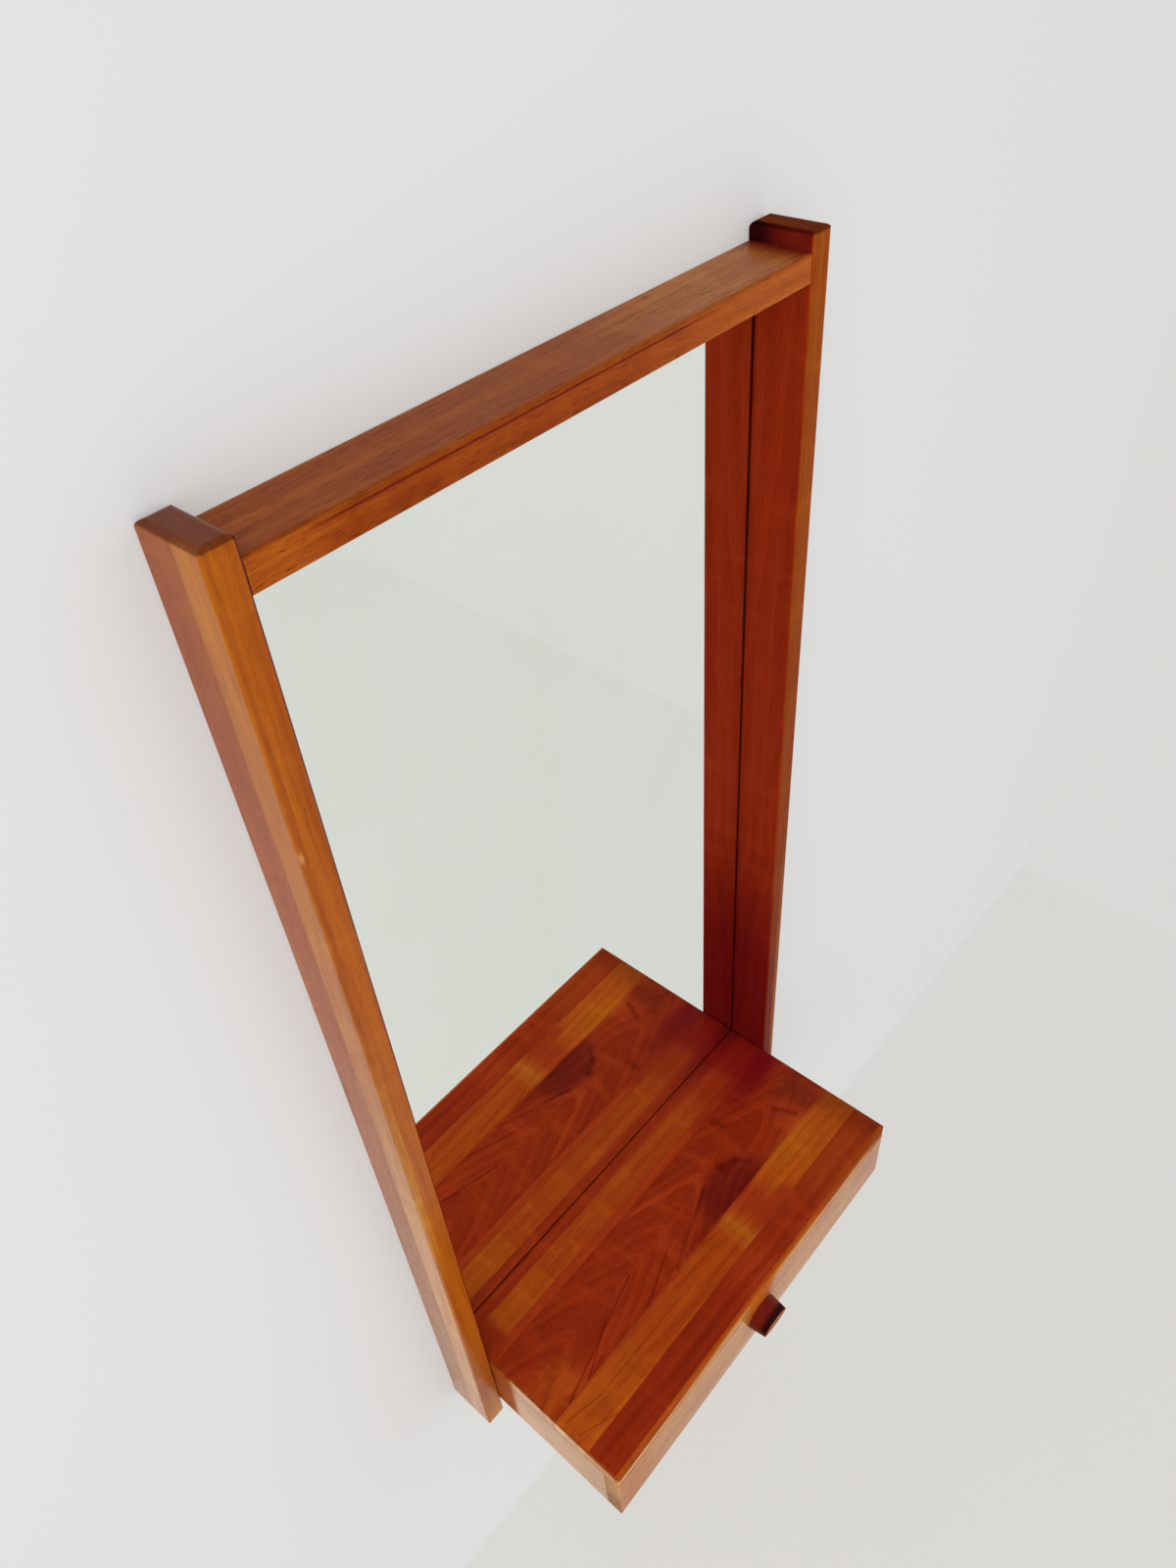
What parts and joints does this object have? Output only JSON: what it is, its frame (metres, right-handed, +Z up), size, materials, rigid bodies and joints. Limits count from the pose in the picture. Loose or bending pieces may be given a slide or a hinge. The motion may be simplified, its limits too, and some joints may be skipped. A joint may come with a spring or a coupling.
{
  "type": "wall mirror with shelf and drawer",
  "caption": "Tall wall mirror in a solid wood frame of stiles and a top rail, with a shelf and a full-width drawer with a small arched wooden pull below the glass.",
  "frame": {"origin": "on the wall, midway between the entry holes of the two keyhole hangers in the backs of the stiles", "axes": "+X to the right along the wall, +Y into the wall, +Z up; the front faces -Y"},
  "size_m": [0.45, 0.2095, 0.927],
  "materials": {
    "frame_wood": "glossy clear lacquer on orange-brown hardwood",
    "shelf_wood": "glossy clear lacquer on four glued staves, honey to dark red-brown",
    "case_wood": "glossy clear lacquer on orange-brown hardwood",
    "pull_wood": "glossy clear lacquer on dark red-brown hardwood",
    "drawer_wood": "waxed pale hardwood",
    "dowel_wood": "bare pale hardwood",
    "plywood": "thin veneered plywood",
    "hardboard": "brown pressed hardboard",
    "mirror": "clear float glass silvered on the back",
    "brass": "plain brass, dulled",
    "steel": "zinc-plated steel, yellowed"
  },
  "bodies": {
    "frame": {"left_stile": "frame_wood", "right_stile": "frame_wood", "top_rail": "frame_wood", "rail_dowels": "dowel_wood", "mirror_glass": "mirror", "backing_panel": "hardboard", "glazing_pins": "steel", "left_hanger_plate": "brass", "right_hanger_plate": "brass", "hanger_screws": "brass", "shelf_board": "shelf_wood", "case_left_side": "case_wood", "case_right_side": "case_wood", "case_back": "case_wood", "case_bottom": "plywood", "shelf_dowels": "dowel_wood", "case_back_dowels": "dowel_wood", "stile_screws": "steel", "left_runner": "drawer_wood", "right_runner": "drawer_wood", "runner_screws": "steel"},
    "drawer": {"drawer_front": "case_wood", "drawer_left_side": "drawer_wood", "drawer_right_side": "drawer_wood", "drawer_back": "drawer_wood", "drawer_bottom": "plywood", "drawer_pull": "pull_wood", "pull_screws": "steel"}
  },
  "joints": [
    {"name": "drawer_slide", "type": "slide", "parent": "frame", "child": "drawer", "axis": [0, -1, 0], "range_m": [0, 0.13]}
  ]
}
